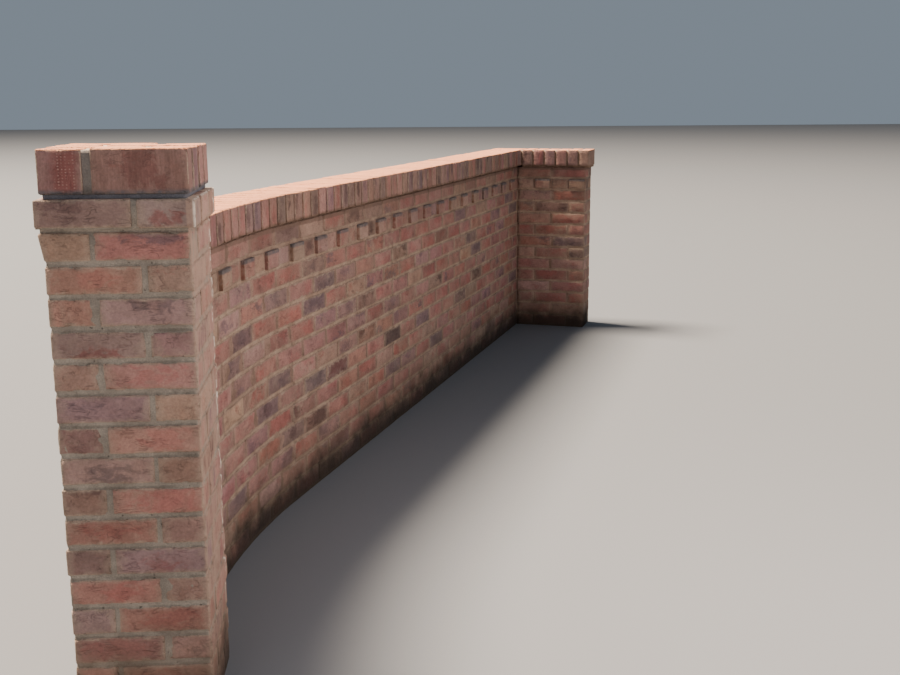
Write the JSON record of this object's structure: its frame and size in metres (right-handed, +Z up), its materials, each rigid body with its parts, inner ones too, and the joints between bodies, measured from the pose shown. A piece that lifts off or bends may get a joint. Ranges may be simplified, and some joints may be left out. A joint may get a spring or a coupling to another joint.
{
  "type": "brick garden wall",
  "caption": "Low brick garden wall with a taller square end pier, a curved start, a square corner return, a dentil course and a coping of bricks on edge.",
  "frame": {"origin": "centre of the pier's foot, on the ground plane", "axes": "+Z up; +Y from the pier's front face towards the wall, which runs on that way; +X towards the driveway side, the hollow side of the wall's curve"},
  "size_m": [2.2511, 5.2295, 1.3875],
  "materials": {
    "pier_brick": "rough fired clay brick in red, brown and buff with grey-buff mortar joints",
    "cap_brick": "wire-cut fired clay brick on edge, weathered",
    "wall_brick": "rough fired clay brick in stretcher bond with grey-buff mortar joints",
    "dentil_brick": "rough fired clay brick headers, mortar-smeared",
    "coping_brick": "fired clay bricks on edge, sun-bleached tops",
    "mortar": "matt grey-buff cement mortar",
    "dark_mortar": "matt dark grey mortar bed"
  },
  "bodies": {
    "root": {"corner_body": "wall_brick", "corner_coping_bricks": "coping_brick", "corner_coping_mortar": "mortar", "corner_dentil_course": "wall_brick", "corner_dentil_headers": "dentil_brick", "corner_neck_course": "wall_brick", "curve_far_body": "wall_brick", "curve_far_coping_bricks": "coping_brick", "curve_far_coping_mortar": "mortar", "curve_far_dentil_course": "wall_brick", "curve_far_dentil_headers": "dentil_brick", "curve_far_neck_course": "wall_brick", "curve_near_body": "wall_brick", "curve_near_coping_bricks": "coping_brick", "curve_near_coping_mortar": "mortar", "curve_near_dentil_course": "wall_brick", "curve_near_dentil_headers": "dentil_brick", "curve_near_neck_course": "wall_brick", "pier_cap_bed": "dark_mortar", "pier_cap_bricks": "cap_brick", "pier_cap_joints": "mortar", "pier_oversail_bed": "mortar", "pier_oversail_course": "pier_brick", "pier_shaft": "pier_brick", "return_body": "wall_brick", "return_coping_bricks": "coping_brick", "return_coping_mortar": "mortar", "return_dentil_course": "wall_brick", "return_dentil_headers": "dentil_brick", "return_neck_course": "wall_brick", "straight_far_body": "wall_brick", "straight_far_coping_bricks": "coping_brick", "straight_far_coping_mortar": "mortar", "straight_far_dentil_course": "wall_brick", "straight_far_dentil_headers": "dentil_brick", "straight_far_neck_course": "wall_brick", "straight_near_body": "wall_brick", "straight_near_coping_bricks": "coping_brick", "straight_near_coping_mortar": "mortar", "straight_near_dentil_course": "wall_brick", "straight_near_dentil_headers": "dentil_brick", "straight_near_neck_course": "wall_brick"}
  },
  "joints": []
}
